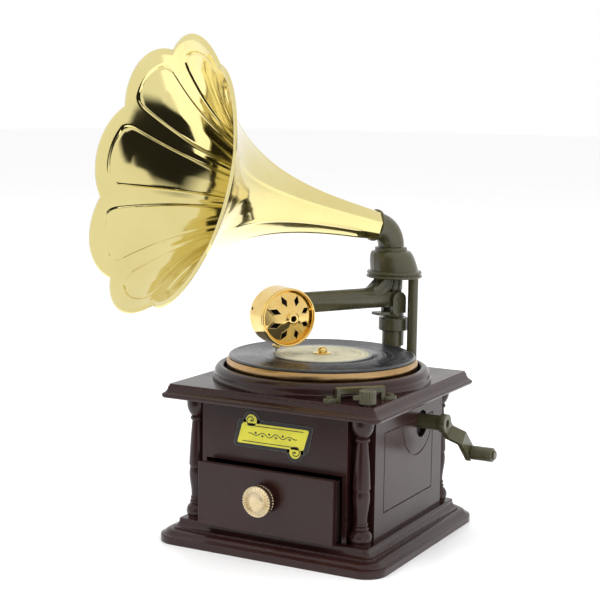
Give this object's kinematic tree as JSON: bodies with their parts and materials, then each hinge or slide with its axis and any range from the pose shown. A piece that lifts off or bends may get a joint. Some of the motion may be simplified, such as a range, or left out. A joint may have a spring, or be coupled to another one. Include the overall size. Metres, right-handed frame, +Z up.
{
  "type": "toy gramophone music box",
  "caption": "Miniature horn gramophone music box with moulded cabinet, corner columns, pull-out drawer, turntable, lifting tonearm, petalled horn and winding crank.",
  "frame": {"origin": "centre of the plinth's underside, on the surface it stands on", "axes": "+Z up, -Y is the drawer front, +X is the winding crank's side; the turntable's axis is Z"},
  "size_m": [0.1782, 0.1628, 0.2317],
  "materials": {
    "cabinet_gloss": "dark brown gloss lacquer look",
    "cabinet_inner": "dark brown, plain",
    "label_black": "black",
    "label_yellow": "yellow gold print",
    "gold": "metallised antique gold",
    "record_black": "black, grooved",
    "record_label_cream": "cream paper print",
    "olive": "olive bronze paint, satin",
    "steel": "plain steel",
    "movement_brass": "machined",
    "movement_plastic": "black moulded",
    "zinc": "die cast",
    "diaphragm_dark": "dark disc"
  },
  "bodies": {
    "cabinet": {"base_plinth": "cabinet_gloss", "bottom_cover": "cabinet_inner", "base_screws": "steel", "cabinet_shell": "cabinet_gloss", "movement_shelf": "cabinet_inner", "drawer_guides": "cabinet_inner", "drawer_runners": "cabinet_inner", "column_front_left": "cabinet_gloss", "column_front_right": "cabinet_gloss", "column_rear_left": "cabinet_gloss", "column_rear_right": "cabinet_gloss", "lid": "cabinet_gloss", "turntable_surround": "cabinet_gloss", "spindle_bush": "movement_plastic", "label_backing": "label_black", "label_scroll": "label_yellow", "support_post": "olive", "tonearm_pipe": "olive", "horn_coupling": "olive", "crank_bush": "movement_plastic", "regulator_bridge": "olive", "bridge_screws": "olive", "regulator_shaft": "steel", "movement_bedplate": "movement_brass", "bed_screws": "steel", "bearing_brackets": "movement_brass", "tone_comb": "steel", "comb_base": "zinc", "comb_screws": "steel"},
    "drawer": {"drawer_tray": "cabinet_inner", "drawer_front": "cabinet_gloss", "drawer_knob": "gold", "drawer_knob_screw": "steel"},
    "turntable": {"platter": "gold", "record_disc": "record_black", "record_label": "record_label_cream", "spindle_cap": "gold", "turntable_spindle": "steel", "crown_gear": "movement_plastic"},
    "yoke": {"tonearm_yoke": "olive", "tonearm_pin": "olive"},
    "tonearm": {"tonearm_tube": "olive", "sound_box_case": "gold", "sound_box_face": "gold", "sound_box_hub": "gold", "sound_box_diaphragm": "diaphragm_dark", "needle_clamp": "gold", "needle": "steel"},
    "horn": {"horn_elbow": "olive", "horn_bell": "gold"},
    "crank": {"crank_shaft": "olive", "crank_arm": "olive", "grip_pin": "olive", "winding_arbor": "steel"},
    "grip": {"crank_grip": "olive"},
    "regulator": {"regulator_knob": "olive"},
    "cylinder": {"music_cylinder": "movement_brass"},
    "barrel": {"spring_barrel": "movement_brass"},
    "governor": {"governor_fan": "movement_plastic"}
  },
  "joints": [
    {"name": "drawer_slide", "type": "slide", "parent": "cabinet", "child": "drawer", "axis": [0, -1, 0], "range_m": [-0.0081, 0.05]},
    {"name": "turntable_spin", "type": "hinge", "parent": "cabinet", "child": "turntable", "pos_m": [0, 0, 0.08], "axis": [0, 0, 1], "continuous": true},
    {"name": "tonearm_swivel", "type": "hinge", "parent": "cabinet", "child": "yoke", "pos_m": [0.0146, 0.0476, 0.095], "axis": [0, 0, 1], "range_deg": [-40, 6]},
    {"name": "tonearm_lift", "type": "hinge", "parent": "yoke", "child": "tonearm", "pos_m": [0.0146, 0.0476, 0.1074], "axis": [-0.8678, 0.497, 0], "range_deg": [0, 12]},
    {"name": "horn_swivel", "type": "hinge", "parent": "cabinet", "child": "horn", "pos_m": [0.01349, 0.04547, 0.133], "axis": [0, 0, 1], "range_deg": [-60, 60]},
    {"name": "crank_turn", "type": "hinge", "parent": "cabinet", "child": "crank", "pos_m": [0.05, 0.013, 0.056], "axis": [1, 0, 0], "continuous": true},
    {"name": "grip_spin", "type": "hinge", "parent": "crank", "child": "grip", "pos_m": [0.07, 0.03158, 0.03927], "axis": [1, 0, 0], "continuous": true},
    {"name": "regulator_turn", "type": "hinge", "parent": "cabinet", "child": "regulator", "pos_m": [0.0461, -0.0461, 0.077], "axis": [0, 0, 1], "range_deg": [-45, 45]},
    {"name": "cylinder_spin", "type": "hinge", "parent": "cabinet", "child": "cylinder", "pos_m": [0, 0, 0.056], "axis": [1, 0, 0], "continuous": true},
    {"name": "barrel_spin", "type": "hinge", "parent": "cabinet", "child": "barrel", "pos_m": [0.03, 0.013, 0.056], "axis": [1, 0, 0], "continuous": true},
    {"name": "governor_spin", "type": "hinge", "parent": "cabinet", "child": "governor", "pos_m": [-0.04, -0.013, 0.056], "axis": [1, 0, 0], "continuous": true}
  ],
  "couplings": [
    {"joint": "cylinder_spin", "follows": "turntable_spin", "ratio": -2.6667},
    {"joint": "barrel_spin", "follows": "turntable_spin", "ratio": 0.88889},
    {"joint": "governor_spin", "follows": "turntable_spin", "ratio": 8}
  ]
}
